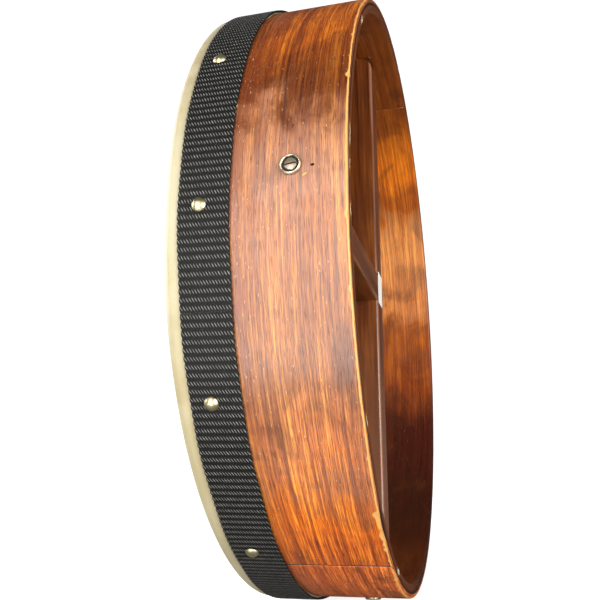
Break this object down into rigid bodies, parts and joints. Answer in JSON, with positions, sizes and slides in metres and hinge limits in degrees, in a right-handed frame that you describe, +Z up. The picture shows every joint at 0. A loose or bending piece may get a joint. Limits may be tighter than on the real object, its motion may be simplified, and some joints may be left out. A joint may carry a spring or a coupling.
{
  "type": "bodhran",
  "caption": "Round frame drum with a bent wood shell, a goatskin head tacked on under a webbing band, and a T-shaped crossbar to hold it by.",
  "frame": {"origin": "middle of the hand grip, on the drum's axis at mid depth of the bars, where the two bars overlap", "axes": "+Y out of the open back along the drum's axis, so the skin faces -Y; +Z up as the drum stands on edge to be played; +X towards the short bar"},
  "size_m": [0.3842, 0.0891, 0.3842],
  "materials": {
    "shell_wood": "gloss",
    "bar_wood": "gloss",
    "goatskin": "satin",
    "webbing": "matte",
    "tack_brass": "polished",
    "screw_brass": "satin",
    "label": "matte"
  },
  "bodies": {
    "root": {"outer_ply": "shell_wood", "inner_ply": "shell_wood", "goatskin_head": "goatskin", "webbing_band": "webbing", "long_bar": "bar_wood", "short_bar": "bar_wood", "crossing_label": "label", "tack_01": "tack_brass", "tack_02": "tack_brass", "tack_03": "tack_brass", "tack_04": "tack_brass", "tack_05": "tack_brass", "tack_06": "tack_brass", "tack_07": "tack_brass", "tack_08": "tack_brass", "tack_09": "tack_brass", "tack_10": "tack_brass", "tack_11": "tack_brass", "tack_12": "tack_brass", "bar_screw_1": "screw_brass", "cup_washer_1": "screw_brass", "bar_screw_2": "screw_brass", "cup_washer_2": "screw_brass", "bar_screw_3": "screw_brass", "cup_washer_3": "screw_brass"}
  },
  "joints": []
}
